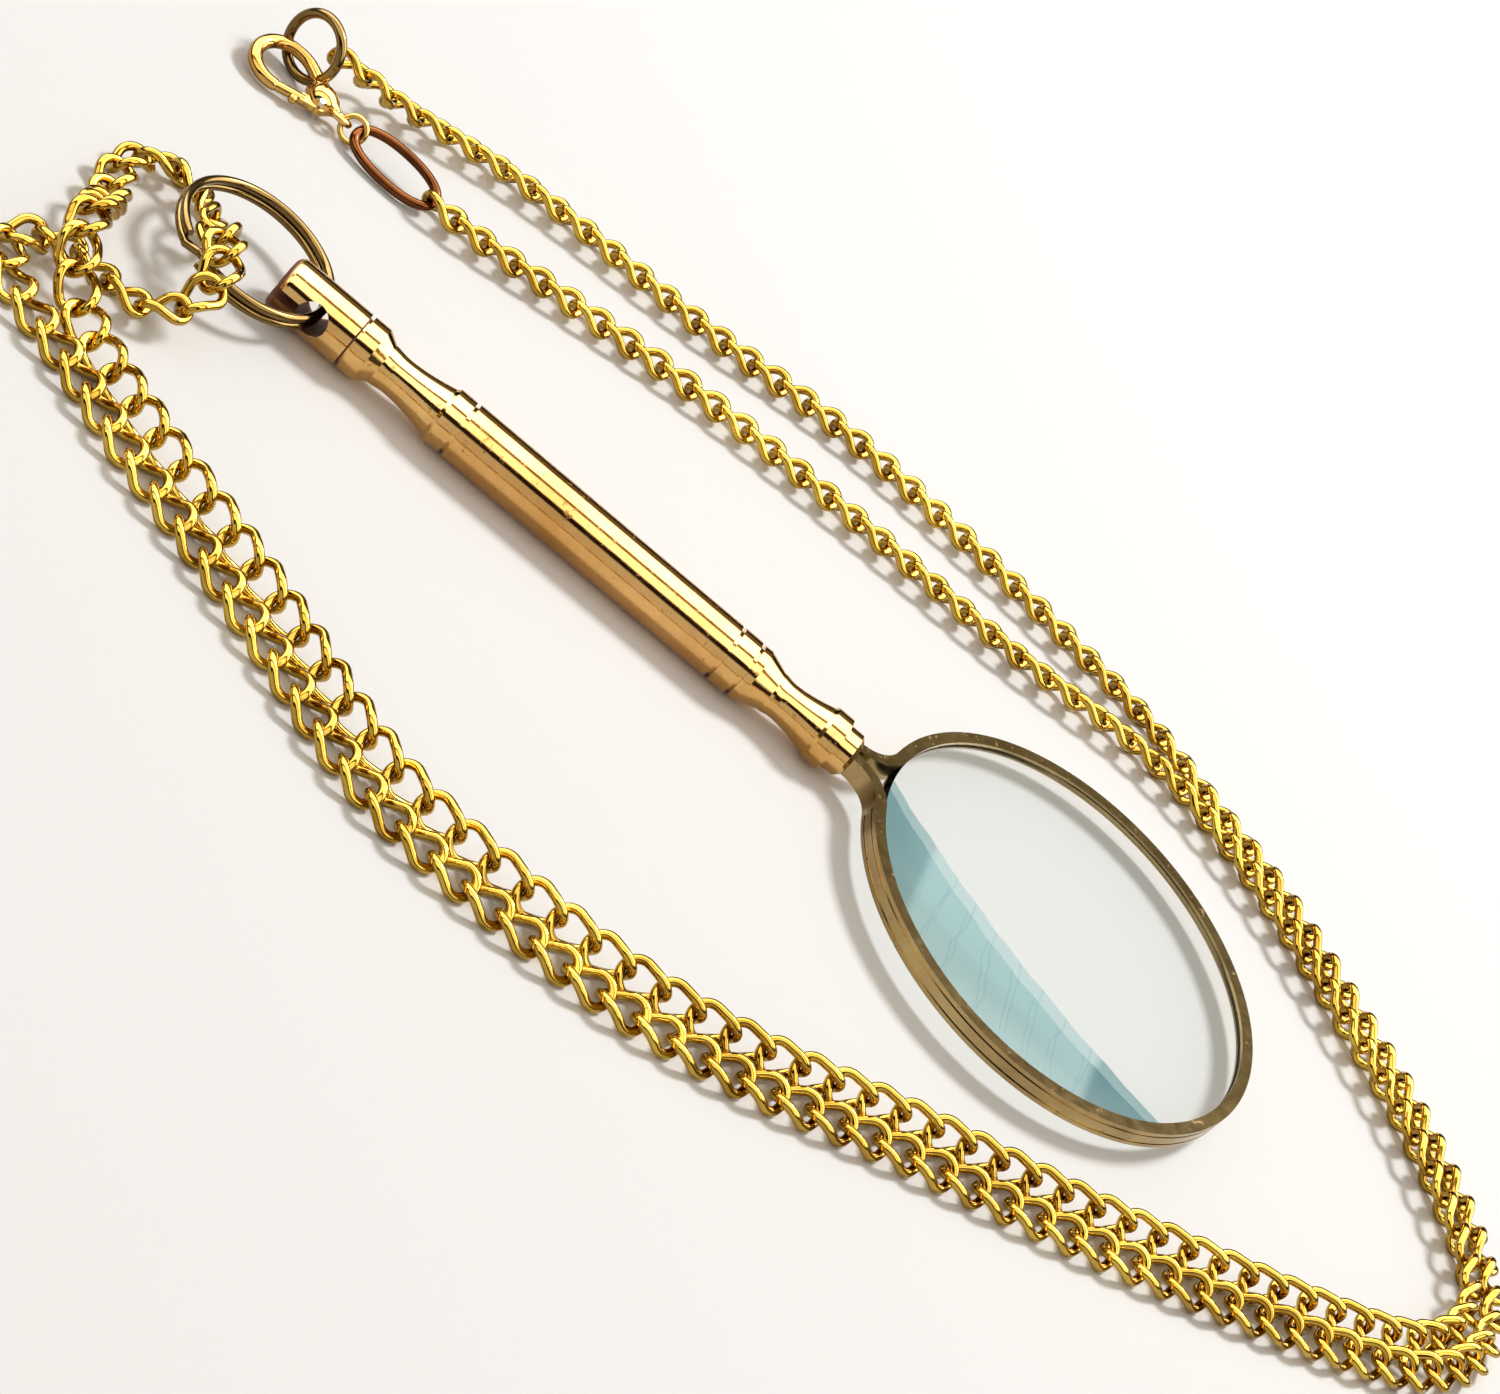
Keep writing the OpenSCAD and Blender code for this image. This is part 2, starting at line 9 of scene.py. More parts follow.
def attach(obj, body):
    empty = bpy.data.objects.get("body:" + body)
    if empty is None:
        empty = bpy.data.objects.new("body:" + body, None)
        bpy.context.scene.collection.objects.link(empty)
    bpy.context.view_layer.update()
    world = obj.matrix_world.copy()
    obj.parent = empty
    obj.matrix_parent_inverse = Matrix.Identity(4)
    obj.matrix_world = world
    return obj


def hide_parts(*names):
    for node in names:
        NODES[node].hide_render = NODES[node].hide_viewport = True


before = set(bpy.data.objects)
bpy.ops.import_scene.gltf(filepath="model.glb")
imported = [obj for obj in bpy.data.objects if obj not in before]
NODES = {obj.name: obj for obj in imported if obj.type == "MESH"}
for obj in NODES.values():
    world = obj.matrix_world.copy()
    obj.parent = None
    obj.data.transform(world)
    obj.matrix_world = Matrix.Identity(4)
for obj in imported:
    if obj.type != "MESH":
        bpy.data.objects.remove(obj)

SCENE = bpy.context.scene
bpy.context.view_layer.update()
MM = 0.001

# The handle's own frame starts at the middle of the cross hole; the part's origin lies further forward.
MID_X = 40.2205
AXIS_Z = 2.5
CAP_R = 2.45
SAME = 0.01


# Camera
TARGET = Vector((44.4 - MID_X, 1.3, 0.0)) * MM
DISTANCE = 0.300
ELEVATION = math.radians(32.25)
AZIMUTH = math.radians(-98.78)
ROLL = math.radians(44.75)
FOCAL_PX = 3864.0
PHOTO_W = 1500.0


def add_camera():
    out = Vector((math.cos(ELEVATION) * math.cos(AZIMUTH), math.cos(ELEVATION) * math.sin(AZIMUTH),
                  math.sin(ELEVATION)))
    right = (-out).cross(Vector((0, 0, 1))).normalized()
    up = right.cross(-out).normalized()
    r2 = math.cos(ROLL) * right + math.sin(ROLL) * up
    u2 = -math.sin(ROLL) * right + math.cos(ROLL) * up
    data = bpy.data.cameras.new("camera")
    data.sensor_fit = "HORIZONTAL"
    data.sensor_width = 36.0
    data.lens = FOCAL_PX / PHOTO_W * 36.0
    data.clip_start = 0.01
    data.clip_end = 10.0
    cam = bpy.data.objects.new("camera", data)
    SCENE.collection.objects.link(cam)
    m = Matrix((r2, u2, out)).transposed().to_4x4()
    m.translation = TARGET + out * DISTANCE
    cam.matrix_world = m
    SCENE.camera = cam


add_camera()


# Materials
def new_material(name):
    mat = bpy.data.materials.new(name)
    mat.use_nodes = True
    nt = mat.node_tree
    nt.nodes.clear()
    out = nt.nodes.new("ShaderNodeOutputMaterial")
    bsdf = nt.nodes.new("ShaderNodeBsdfPrincipled")
    nt.links.new(bsdf.outputs["BSDF"], out.inputs["Surface"])
    return mat, nt, bsdf


def node(nt, kind, **values):
    n = nt.nodes.new(kind)
    for k, v in values.items():
        if k in n.inputs:
            n.inputs[k].default_value = v
        else:
            setattr(n, k, v)
    return n


def ramp(nt, source, stops, interpolation="LINEAR"):
    r = nt.nodes.new("ShaderNodeValToRGB")
    r.color_ramp.interpolation = interpolation
    while len(r.color_ramp.elements) > 1:
        r.color_ramp.elements.remove(r.color_ramp.elements[-1])
    first = True
    for pos, col in stops:
        c = (col, col, col, 1) if isinstance(col, (int, float)) else (*col, 1)
        e = r.color_ramp.elements[0] if first else r.color_ramp.elements.new(pos)
        e.position = pos
        e.color = c
        first = False
    nt.links.new(source, r.inputs["Fac"])
    return r.outputs["Color"]


def mix(nt, fac, a, b, blend="MIX"):
    m = nt.nodes.new("ShaderNodeMix")
    m.data_type = "RGBA"
    m.blend_type = blend
    for index, v in ((0, fac), (6, a), (7, b)):
        s = m.inputs[index]
        if hasattr(v, "is_linked") or hasattr(v, "links"):
            nt.links.new(v, s)
        elif isinstance(v, (int, float)):
            s.default_value = v
        else:
            s.default_value = (*v, 1)
    return m.outputs[2]


def metal(name, light, dark, spot, rough=0.12, rough_spread=0.12, spots=0.5, scratch=0.25, grain=900.0,
          spot_size=1400.0):
    """Polished plated metal: colour drifts slowly, dull spots of tarnish, hairline scratches."""
    mat, nt, bsdf = new_material(name)
    coord = node(nt, "ShaderNodeTexCoord").outputs["Object"]
    slow = node(nt, "ShaderNodeTexNoise", Scale=150.0, Detail=4.0, Roughness=0.6)
    nt.links.new(coord, slow.inputs["Vector"])
    fine = node(nt, "ShaderNodeTexNoise", Scale=grain, Detail=6.0, Roughness=0.65)
    nt.links.new(coord, fine.inputs["Vector"])
    speck = node(nt, "ShaderNodeTexNoise", Scale=spot_size, Detail=3.0, Roughness=0.7)
    nt.links.new(coord, speck.inputs["Vector"])
    stretch = node(nt, "ShaderNodeMapping")
    stretch.inputs["Scale"].default_value = (0.12, 1.0, 1.0)
    stretch.inputs["Rotation"].default_value = (0.3, 0.2, 0.5)
    nt.links.new(coord, stretch.inputs["Vector"])
    hair = node(nt, "ShaderNodeTexNoise", Scale=9000.0, Detail=2.0, Roughness=0.5)
    nt.links.new(stretch.outputs["Vector"], hair.inputs["Vector"])

    drift = ramp(nt, slow.outputs["Fac"], [(0.35, 0.0), (0.68, 1.0)])
    base = mix(nt, drift, light, dark)
    spot_mask = ramp(nt, speck.outputs["Fac"], [(0.62, 0.0), (0.70, spots)])
    base = mix(nt, spot_mask, base, spot)
    nt.links.new(base, bsdf.inputs["Base Color"])
    bsdf.inputs["Metallic"].default_value = 1.0

    r1 = ramp(nt, fine.outputs["Fac"], [(0.3, rough), (0.75, rough + rough_spread)])
    r2 = mix(nt, spot_mask, r1, (0.5, 0.5, 0.5))
    nt.links.new(r2, bsdf.inputs["Roughness"])

    add = node(nt, "ShaderNodeMath", operation="MULTIPLY_ADD")
    nt.links.new(hair.outputs["Fac"], add.inputs[0])
    add.inputs[1].default_value = scratch
    nt.links.new(fine.outputs["Fac"], add.inputs[2])
    bump = node(nt, "ShaderNodeBump", Strength=0.10, Distance=0.00004)
    nt.links.new(add.outputs[0], bump.inputs["Height"])
    nt.links.new(bump.outputs["Normal"], bsdf.inputs["Normal"])
    return mat


GOLD = metal("gold_handle", (0.72, 0.45, 0.17), (0.56, 0.31, 0.09), (0.26, 0.11, 0.03), rough=0.05,
             rough_spread=0.08)
BARREL = metal("gold_barrel", (0.70, 0.41, 0.15), (0.54, 0.28, 0.08), (0.24, 0.10, 0.03), rough=0.06,
               rough_spread=0.08, spots=0.7)
RIM = metal("gold_rim", (0.42, 0.31, 0.14), (0.28, 0.19, 0.08), (0.14, 0.08, 0.03), rough=0.12,
            rough_spread=0.08)
RING = metal("gold_ring", (0.22, 0.145, 0.05), (0.12, 0.07, 0.02), (0.05, 0.025, 0.01), rough=0.10,
             rough_spread=0.08)
CHAIN = metal("gold_chain", (0.56, 0.37, 0.06), (0.32, 0.18, 0.022), (0.12, 0.05, 0.01), rough=0.07,
              rough_spread=0.08, spots=0.4)
CLASP = metal("gold_clasp", (0.62, 0.39, 0.11), (0.36, 0.18, 0.035), (0.22, 0.10, 0.03), rough=0.07,
              rough_spread=0.08, spots=0.4)
BROWN = metal("brown_link", (0.15, 0.05, 0.014), (0.06, 0.018, 0.007), (0.03, 0.01, 0.006), rough=0.10,
              rough_spread=0.08)
BRASS = metal("brass_inside", (0.72, 0.54, 0.26), (0.60, 0.42, 0.18), (0.30, 0.18, 0.08), rough=0.3)
STEEL = metal("spring_steel", (0.62, 0.61, 0.60), (0.50, 0.49, 0.48), (0.25, 0.20, 0.16), rough=0.25)


def cap_metal():
    """The end cap's gold, with painted shade: dark red-brown inside the slot and on its lower jaw."""
    mat = metal("gold_cap", (0.72, 0.45, 0.17), (0.56, 0.31, 0.09), (0.26, 0.11, 0.03), rough=0.05,
                rough_spread=0.08, spots=0.5)
    nt = mat.node_tree
    bsdf = [n for n in nt.nodes if n.type == "BSDF_PRINCIPLED"][0]
    gold = bsdf.inputs["Base Color"].links[0].from_socket
    sep = node(nt, "ShaderNodeSeparateXYZ")
    nt.links.new(node(nt, "ShaderNodeTexCoord").outputs["Object"], sep.inputs[0])
    down = node(nt, "ShaderNodeMath", operation="MULTIPLY_ADD")
    nt.links.new(sep.outputs["Z"], down.inputs[0])
    down.inputs[1].default_value = 1 / MM
    down.inputs[2].default_value = -AXIS_Z
    across = node(nt, "ShaderNodeMath", operation="MULTIPLY")
    nt.links.new(sep.outputs["Y"], across.inputs[0])
    across.inputs[1].default_value = 1 / MM
    radius = node(nt, "ShaderNodeVectorMath", operation="LENGTH")
    join = node(nt, "ShaderNodeCombineXYZ")
    nt.links.new(across.outputs[0], join.inputs["X"])
    nt.links.new(down.outputs[0], join.inputs["Y"])
    nt.links.new(join.outputs[0], radius.inputs[0])
    scaled = node(nt, "ShaderNodeMath", operation="MULTIPLY")
    nt.links.new(radius.outputs["Value"], scaled.inputs[0])
    scaled.inputs[1].default_value = 1 / CAP_R
    # Painted shade: surfaces inside the cap's outer radius, in the slot and hole, go dark red-brown, rougher
    # and barely metallic
    inside = ramp(nt, scaled.outputs[0], [(0.90, 1.0), (0.985, 0.0)])
    back = node(nt, "ShaderNodeMath", operation="MULTIPLY_ADD")
    nt.links.new(sep.outputs["X"], back.inputs[0])
    back.inputs[1].default_value = -1 / MM
    back.inputs[2].default_value = -MID_X
    rear = ramp(nt, back.outputs[0], [(0.0, 0.0), (1.0, 1.0)])
    # Painted shade: the lower half of the cap behind the cross hole, its lower jaw, goes dark towards the
    # bottom
    low = ramp(nt, down.outputs[0], [(0.0, 0.9), (0.35, 0.0)])
    jaw = mix(nt, 1.0, rear, low, blend="MULTIPLY")
    # Both painted-shade masks together, mixed towards dark red-brown below
    painted_shade = mix(nt, 1.0, inside, jaw, blend="LIGHTEN")
    nt.links.new(mix(nt, painted_shade, gold, (0.14, 0.04, 0.014)), bsdf.inputs["Base Color"])
    polish = bsdf.inputs["Roughness"].links[0].from_socket
    nt.links.new(mix(nt, inside, polish, (0.6, 0.6, 0.6)), bsdf.inputs["Roughness"])
    nt.links.new(ramp(nt, inside, [(0.0, 1.0), (1.0, 0.15)]), bsdf.inputs["Metallic"])
    return mat


CAP = cap_metal()


LENS_X, LENS_Z = 74.8, AXIS_Z
LENS_R, LENS_BEVEL_R = 17.95, 18.32
LENS_EDGE_HALF, LENS_BULGE, LENS_LAND_HALF = 0.75, 0.5, 0.25
# Three points on the inner edge of the painted teal reflection, a crescent, from the lens's centre, and how
# that edge wavers and fades
CRESCENT = [(-14.9, -2.0), (-3.0, -8.5), (12.7, -12.6)]
CRESCENT_START, CRESCENT_FADE, EDGE_WOBBLE = 0.25, 8.0, 0.8


def circle_through(a, b, c):
    (ax, ay), (bx, by), (cx, cy) = a, b, c
    d = 2 * (ax * (by - cy) + bx * (cy - ay) + cx * (ay - by))
    a2, b2, c2 = ax * ax + ay * ay, bx * bx + by * by, cx * cx + cy * cy
    ux = (a2 * (by - cy) + b2 * (cy - ay) + c2 * (ay - by)) / d
    uy = (a2 * (cx - bx) + b2 * (ax - cx) + c2 * (bx - ax)) / d
    return ux, uy, math.hypot(ax - ux, ay - uy)


def glass():
    """Clear ground glass with dust at the edge. A teal reflection is painted as a crescent along the near
    side, darker at its ends and crossed by thin dark streaks.
    """
    mat, nt, bsdf = new_material("lens_glass")
    out = [n for n in nt.nodes if n.type == "OUTPUT_MATERIAL"][0]
    coord = node(nt, "ShaderNodeTexCoord").outputs["Object"]
    dust = node(nt, "ShaderNodeTexNoise", Scale=2500.0, Detail=5.0, Roughness=0.7)
    nt.links.new(coord, dust.inputs["Vector"])
    rough = ramp(nt, dust.outputs["Fac"], [(0.55, 0.0), (0.8, 0.06)])
    nt.links.new(rough, bsdf.inputs["Roughness"])
    tint = mix(nt, dust.outputs["Fac"], (0.995, 0.998, 0.995), (0.98, 0.99, 0.985))
    cx, cy, cr = circle_through(*CRESCENT)
    move = node(nt, "ShaderNodeMapping")
    move.inputs["Location"].default_value = (-(LENS_X - MID_X), 0, 0)
    move.inputs["Scale"].default_value = (1 / MM, 1 / MM, 0)
    nt.links.new(coord, move.inputs["Vector"])
    wobble = node(nt, "ShaderNodeTexNoise", Scale=0.35, Detail=2.0, Roughness=0.5)
    nt.links.new(move.outputs["Vector"], wobble.inputs["Vector"])
    away = node(nt, "ShaderNodeVectorMath", operation="DISTANCE")
    nt.links.new(move.outputs["Vector"], away.inputs[0])
    away.inputs[1].default_value = (cx, cy, 0)
    edge = node(nt, "ShaderNodeMath", operation="MULTIPLY_ADD")
    nt.links.new(wobble.outputs["Fac"], edge.inputs[0])
    edge.inputs[1].default_value = EDGE_WOBBLE
    nt.links.new(away.outputs["Value"], edge.inputs[2])
    span = node(nt, "ShaderNodeMapRange")
    span.inputs["From Min"].default_value = cr + CRESCENT_START
    span.inputs["From Max"].default_value = cr + CRESCENT_START + CRESCENT_FADE
    nt.links.new(edge.outputs[0], span.inputs["Value"])
    # Painted reflection: mask of the teal crescent along the lens's near side
    painted_reflection = ramp(nt, span.outputs["Result"], [(0.0, 0.0), (0.02, 1.0), (0.6, 0.9), (1.0, 0.8)])
    sep = node(nt, "ShaderNodeSeparateXYZ")
    nt.links.new(move.outputs["Vector"], sep.inputs[0])
    along = node(nt, "ShaderNodeMapRange")
    along.inputs["From Min"].default_value = -16.0
    along.inputs["From Max"].default_value = 14.0
    nt.links.new(sep.outputs["X"], along.inputs["Value"])
    deep = ramp(nt, along.outputs["Result"], [
        (0.0, 0.75), (0.10, 0.6), (0.13, 0.0), (0.72, 0.1), (0.75, 0.9), (1.0, 0.8)])
    teal = mix(nt, deep, (0.47, 0.73, 0.75), (0.10, 0.27, 0.31))
    line = node(nt, "ShaderNodeTexWave", Scale=0.12, Distortion=6.0, Detail=3.0)
    line.inputs["Detail Scale"].default_value = 0.6
    nt.links.new(move.outputs["Vector"], line.inputs["Vector"])
    # Painted reflection: thin dark streaks across the teal crescent
    painted_streak = ramp(nt, line.outputs["Fac"], [(0.0, 0.35), (0.02, 0.0), (1.0, 0.0)])
    teal = mix(nt, painted_streak, teal, (0.14, 0.34, 0.40))
    # The painted teal reflection is mixed into the glass's colour
    tint = mix(nt, painted_reflection, tint, teal)
    nt.links.new(tint, bsdf.inputs["Base Color"])
    bsdf.inputs["Transmission Weight"].default_value = 1.0
    bsdf.inputs["IOR"].default_value = 1.5
    clear = node(nt, "ShaderNodeBsdfTransparent")
    clear.inputs["Color"].default_value = (0.96, 0.98, 0.98, 1)
    path = node(nt, "ShaderNodeLightPath")
    either = node(nt, "ShaderNodeMath", operation="MAXIMUM")
    nt.links.new(path.outputs["Is Shadow Ray"], either.inputs[0])
    nt.links.new(path.outputs["Is Diffuse Ray"], either.inputs[1])
    m = node(nt, "ShaderNodeMixShader")
    nt.links.new(either.outputs[0], m.inputs["Fac"])
    nt.links.new(bsdf.outputs["BSDF"], m.inputs[1])
    nt.links.new(clear.outputs["BSDF"], m.inputs[2])
    nt.links.new(m.outputs["Shader"], out.inputs["Surface"])
    return mat


GLASS = glass()


# Chain
LINK_A = 1.88
LINK_B = 1.34
WIRE = 0.76
PITCH = 3.0
TWIST = math.radians(45)
WIRE_SIDES = 10
ARC_STEPS = 11
BAR_STEPS = 2


def curb_centreline():
    """Closed centreline of one curb link: an oval whose ends are twisted against each other."""
    a, b, al = LINK_A, LINK_B, TWIST
    k = b / math.cos(al)
    ks = math.sqrt(a * a + (b * math.tan(al)) ** 2)
    s = ks - k
    beta = math.acos(a / ks)
    ta = np.array([0, math.cos(al), math.sin(al)])
    tb = np.array([-math.cos(beta), 0, -math.sin(beta)])
    start = np.array([a, 0, 0.0])
    middle = np.array([s * math.cos(beta), b, s * math.sin(beta)])
    theta = math.acos(float(ta @ tb))
    radius = np.linalg.norm(middle - start) / (2 * math.sin(theta / 2))
    n = np.cross(ta, tb)
    n /= np.linalg.norm(n)
    centre = start + radius * np.cross(n, ta)
    u = (start - centre) / radius
    arc = [centre + radius * (math.cos(t) * u + math.sin(t) * ta) for t in np.linspace(0, theta, ARC_STEPS)]
    bar = [middle + (np.array([0, b, 0]) - middle) * f for f in np.linspace(0, 1, BAR_STEPS + 1)[1:]]
    quarter = np.array(arc + bar)
    half_a = np.concatenate([quarter, (quarter * [-1, 1, -1])[::-1][1:]])
    half_b = (half_a * [1, -1, -1])[::-1]
    return np.concatenate([half_a[:-1], half_b[:-1]])


def tube_template(line, wire, sides):
    n = len(line)
    nxt, prv = np.roll(line, -1, 0), np.roll(line, 1, 0)
    t = nxt - prv
    t /= np.linalg.norm(t, axis=1)[:, None]
    r = line - (np.sum(line * t, axis=1))[:, None] * t
    r /= np.linalg.norm(r, axis=1)[:, None]
    q = np.cross(t, r)
    ang = np.linspace(0, 2 * np.pi, sides, endpoint=False)
    verts = (line[:, None, :] + wire / 2 * (np.cos(ang)[None, :, None] * r[:, None, :]
                                            + np.sin(ang)[None, :, None] * q[:, None, :])).reshape(-1, 3)
    faces = []
    for i in range(n):
        j = (i + 1) % n
        for k in range(sides):
            m = (k + 1) % sides
            faces.append((i * sides + k, i * sides + m, j * sides + m, j * sides + k))
    return verts, faces


LINE = curb_centreline()
LINK_V, LINK_F = tube_template(LINE, WIRE, WIRE_SIDES)


def rest_height(roll):
    """Height of the centreline of a link that rests on the table with this roll."""
    z = LINE[:, 1] * math.sin(roll) + LINE[:, 2] * math.cos(roll)
    return float(-z.min() + WIRE / 2 + 0.02)


RING_MID = [-9.7, -1.6, 1.5]
ARM_OVER = [[-8.3, -4.9, 3.5], [-6.9, -8.3, 3.4], [-6.9, -11.2, 1.6], [-9.2, -13.2, 0.2],
            [-12.3, -13.5, 0], [-15.4, -13.1, 0], [-18.3, -13.9, 0], [-19.7, -16.5, 0],
            [-18.9, -19.4, 0], [-16.6, -21.3, 0]]
ARM_UNDER = [[-10.3, 1, 0.3], [-11.6, 3, 0], [-14.3, 4.1, 0], [-17.1, 3, 0], [-18.2, 0.2, 0],
             [-17.7, -2.8, 0], [-17, -5.6, 0.4], [-16.8, -8.5, 1.6], [-16.8, -11.4, 3],
             [-16.4, -14.3, 3.1], [-15, -16.8, 1.6], [-12.8, -18.9, 0.2]]
DOUBLE = [[-15.6, -18.6], [-9.6, -22.6], [-2.4, -26.4], [5.2, -29.6], [13.2, -33.4], [20.3, -37.2],
          [26.6, -39.4], [35.2, -40], [46, -39.6], [56.7, -37], [69.1, -32], [86.6, -25.6],
          [104.7, -17.8], [115.6, -11.6], [120.2, -3.6], [118.6, 4.6], [110.4, 14.4], [100.6, 22.1],
          [92, 28.2], [84, 32]]
TO_CLASP = [[76, 32.4, 0], [68, 31.6, 0], [61.3, 31, 0], [44.4, 31.1, 0], [28.3, 30.3, 0],
            [14, 27.8, 0], [8, 26.4, 0], [3, 25.5, 0.1], [-0.1, 25.6, 0.2]]
TO_RING = [[76.5, 37, 0], [68.5, 38.8, 0], [58.7, 40.4, 0], [41.1, 41.7, 0], [25, 39.4, 0],
           [12, 38.6, 0], [4, 37.4, 0], [-2, 35.3, 0.1], [-6.4, 33.1, 0.5], [-9.8, 31.3, 1.4],
           [-12.6, 30.25, 1.9]]
CAD_LIFT = 1.3 * math.sin(math.radians(45)) + 0.27 + 0.03
STRAND_GAP = 2.6
SHIFT = 0.2
STEPS = 12


def strand(off):
    out = []
    p = np.array(DOUBLE, float)
    for i in range(1, len(p)):
        a, b = p[max(i - 1, 0)], p[min(i + 1, len(p) - 1)]
        t = (b - a) / np.linalg.norm(b - a)
        out.append([p[i][0] - off * t[1], p[i][1] + off * t[0], 0])
    return out


def smooth_curve(points):
    p = np.array(points, float)
    p = np.vstack([2 * p[0] - p[1], p, 2 * p[-1] - p[-2]])
    out = []
    for i in range(1, len(p) - 2):
        a, b, c, d = p[i - 1], p[i], p[i + 1], p[i + 2]
        for k in range(STEPS):
            t = k / STEPS
            out.append(0.5 * (2 * b + (c - a) * t + (2 * a - 5 * b + 4 * c - d) * t * t
                              + (3 * b - a - 3 * c + d) * t ** 3))
    out.append(p[-2])
    return np.array(out)


def hinge_points(points):
    curve = smooth_curve(points)
    found = [curve[0]]
    i = 0
    while i + 1 < len(curve):
        p = found[-1]
        if np.linalg.norm(curve[i + 1] - p) < PITCH:
            i += 1
            continue
        u, v = curve[i] - p, curve[i + 1] - curve[i]
        qa, qb, qc = v @ v, 2 * u @ v, u @ u - PITCH ** 2
        found.append(curve[i] + (math.sqrt(max(qb * qb - 4 * qa * qc, 0)) - qb) / (2 * qa) * v)
    return np.array(found)


CLASP_HALF = hinge_points([RING_MID] + ARM_UNDER + strand(STRAND_GAP / 2 - SHIFT) + TO_CLASP)
RING_HALF = hinge_points([RING_MID] + ARM_OVER + strand(-STRAND_GAP / 2 - SHIFT) + TO_RING)


def placed(points, rolls):
    """Hinge points with their heights, and the roll of each link, from (link number, degrees) stops."""
    n = len(points) - 1
    xs = [r[0] for r in rolls]
    ys = [r[1] for r in rolls]
    roll = np.radians(np.interp(np.arange(n), xs, ys))
    h = np.array([rest_height(r) for r in roll])
    hp = np.concatenate([[h[0]], (h[1:] + h[:-1]) / 2, [h[-1]]])
    out = points.copy()
    out[:, 2] += hp
    return out, roll


CLASP_ROLLS = [(0, 40), (4, 30), (10, 20), (14, 55), (22, 78), (46, 80), (58, 50), (72, 45), (84, 25),
               (98, 10), (105, 20)]
RING_ROLLS = [(0, 35), (6, 20), (10, 0), (30, 0), (48, 5), (60, 35), (74, 40), (86, 20), (98, 10), (113, 35)]


def chain_mesh(name, points, roll):
    verts, faces = [], []
    for i in range(len(points) - 1):
        d = points[i + 1] - points[i]
        d = d / np.linalg.norm(d)
        side = np.cross([0, 0, 1.0], d)
        side /= np.linalg.norm(side)
        up = np.cross(d, side)
        c, s = math.cos(roll[i]), math.sin(roll[i])
        y = c * side + s * up
        z = -s * side + c * up
        m = np.stack([d, y, z])
        base = len(verts) * len(LINK_V)
        verts.append(LINK_V @ m + (points[i] + points[i + 1]) / 2)
        faces.extend([tuple(k + base for k in f) for f in LINK_F])
    v = (np.concatenate(verts) - [MID_X, 0, 0]) * MM
    me = bpy.data.meshes.new(name)
    me.from_pydata(v.tolist(), [], faces)
    me.polygons.foreach_set("use_smooth", [True] * len(me.polygons))
    me.materials.append(CHAIN)
    me.update()
    o = bpy.data.objects.new(name, me)
    SCENE.collection.objects.link(o)
    return o


clasp_pts, clasp_roll = placed(CLASP_HALF, CLASP_ROLLS)
ring_pts, ring_roll = placed(RING_HALF, RING_ROLLS)
chain_a = chain_mesh("chain_to_clasp_links", clasp_pts, clasp_roll)
chain_b = chain_mesh("chain_to_end_ring_links", ring_pts, ring_roll)
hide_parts("chain_to_clasp", "chain_at_ring")
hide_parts("chain_to_end_ring", "chain_at_ring")

ROOT = "frame"
CLASP_PIECES = ["oval_link", "clasp_eye_ring", "clasp_body", "clasp_lever", "clasp_pin", "clasp_spring"]


def node_object(name):
    n = NODES[name]
    return n if hasattr(n, "data") else bpy.data.objects[name]


for piece in (chain_a, chain_b):
    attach(piece, ROOT)
[node_object(n) for n in CLASP_PIECES]
node_object("end_ring")


# Pieces that replace CAD nodes
def closed_tube(name, line, wire, sides, mat, slot, body, *replaced):
    """A closed wire along a line of points in millimetres, in the handle's own frame."""
    v, f = tube_template(np.array(line), wire, sides)
    return mesh_piece(name, v, f, mat, slot, body, *replaced)


def mesh_piece(name, v, f, mat, slot, body, *replaced):
    me = bpy.data.meshes.new(name)
    me.from_pydata(((np.array(v) - [MID_X, 0, 0]) * MM).tolist(), [], f)
    me.polygons.foreach_set("use_smooth", [True] * len(me.polygons))
    me.materials.append(mat)
    me.update()
    o = bpy.data.objects.new(name, me)
    SCENE.collection.objects.link(o)
    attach(o, body)
    if replaced:
        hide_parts(*replaced)
    return o


def turned_lens():
    """Lens of revolution, fine enough to refract cleanly and a little flatter than the solid one."""
    rings = 28
    face = [(LENS_R * i / rings, LENS_EDGE_HALF + LENS_BULGE * (1 - (i / rings) ** 2))
            for i in range(rings + 1)]
    around = 256
    profile = face + [(LENS_BEVEL_R, LENS_LAND_HALF), (LENS_BEVEL_R, -LENS_LAND_HALF)]
    profile += [(r, -z) for r, z in reversed(face)]
    verts, faces = [], []
    for r, z in profile:
        for k in range(around):
            a = 2 * math.pi * k / around
            verts.append((LENS_X + r * math.cos(a), r * math.sin(a), LENS_Z + z))
    for i in range(len(profile) - 1):
        for k in range(around):
            m = (k + 1) % around
            faces.append((i * around + k, (i + 1) * around + k, (i + 1) * around + m, i * around + m))
    o = mesh_piece("lens_glass_turned", verts, faces, GLASS, "lens_glass", ROOT, "lens")
    bm = bmesh.new()
    bm.from_mesh(o.data)
    bmesh.ops.remove_doubles(bm, verts=bm.verts, dist=1e-8)
    bmesh.ops.recalc_face_normals(bm, faces=bm.faces)
    for e in bm.edges:
        r = [math.hypot((v.co.x / MM) - (LENS_X - MID_X), v.co.y / MM) for v in e.verts]
        level = abs(r[0] - r[1]) < SAME
        if level and (abs(r[0] - LENS_R) < SAME or abs(r[0] - LENS_BEVEL_R) < SAME):
            e.smooth = False
    bm.to_mesh(o.data)
    bm.free()


turned_lens()

